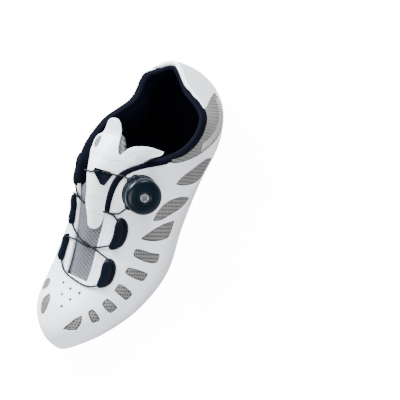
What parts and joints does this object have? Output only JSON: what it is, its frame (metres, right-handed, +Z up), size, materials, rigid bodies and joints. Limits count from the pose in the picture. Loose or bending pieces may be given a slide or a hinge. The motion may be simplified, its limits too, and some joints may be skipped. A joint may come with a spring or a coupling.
{
  "type": "cycling shoe",
  "caption": "White low-cut cycling shoe with grey mesh windows, a black lace dial and guides on the throat, padded black collar and a stiff sole.",
  "frame": {"origin": "on the floor, in the middle of the heel pad", "axes": "+X from heel to toe along the sole, +Y to the outer (lateral) side of the left foot, +Z up"},
  "size_m": [0.283, 0.1057, 0.1097],
  "materials": {
    "white_synthetic": "smooth satin synthetic leather",
    "overlay_synthetic": "smooth satin synthetic leather, thin",
    "sole_plastic": "moulded satin plastic",
    "footbed_cloth": "fine black cloth",
    "black_lining": "soft padded black cloth",
    "grey_mesh": "silver grey knitted mesh",
    "guide_plastic": "black moulded plastic",
    "dial_plastic": "black glossy moulded plastic",
    "cap_metal": "turned silver cap",
    "lace_cord": "thin round black cord"
  },
  "bodies": {
    "root": {"upper": "white_synthetic", "outsole": "sole_plastic", "insole": "footbed_cloth", "collar_lining": "black_lining", "tongue": "grey_mesh", "tongue_overlay": "overlay_synthetic", "tongue_guide": "guide_plastic", "guide_lateral_rear": "guide_plastic", "guide_lateral_front": "guide_plastic", "guide_medial_top": "guide_plastic", "guide_medial_middle": "guide_plastic", "guide_medial_front": "guide_plastic", "dial_base": "dial_plastic", "dial_knob": "dial_plastic", "dial_cap": "cap_metal", "lace_top_lateral": "lace_cord", "lace_top_medial": "lace_cord", "lace_crossing_rear": "lace_cord", "lace_crossing_front": "lace_cord", "lace_front_bar": "lace_cord"}
  },
  "joints": []
}
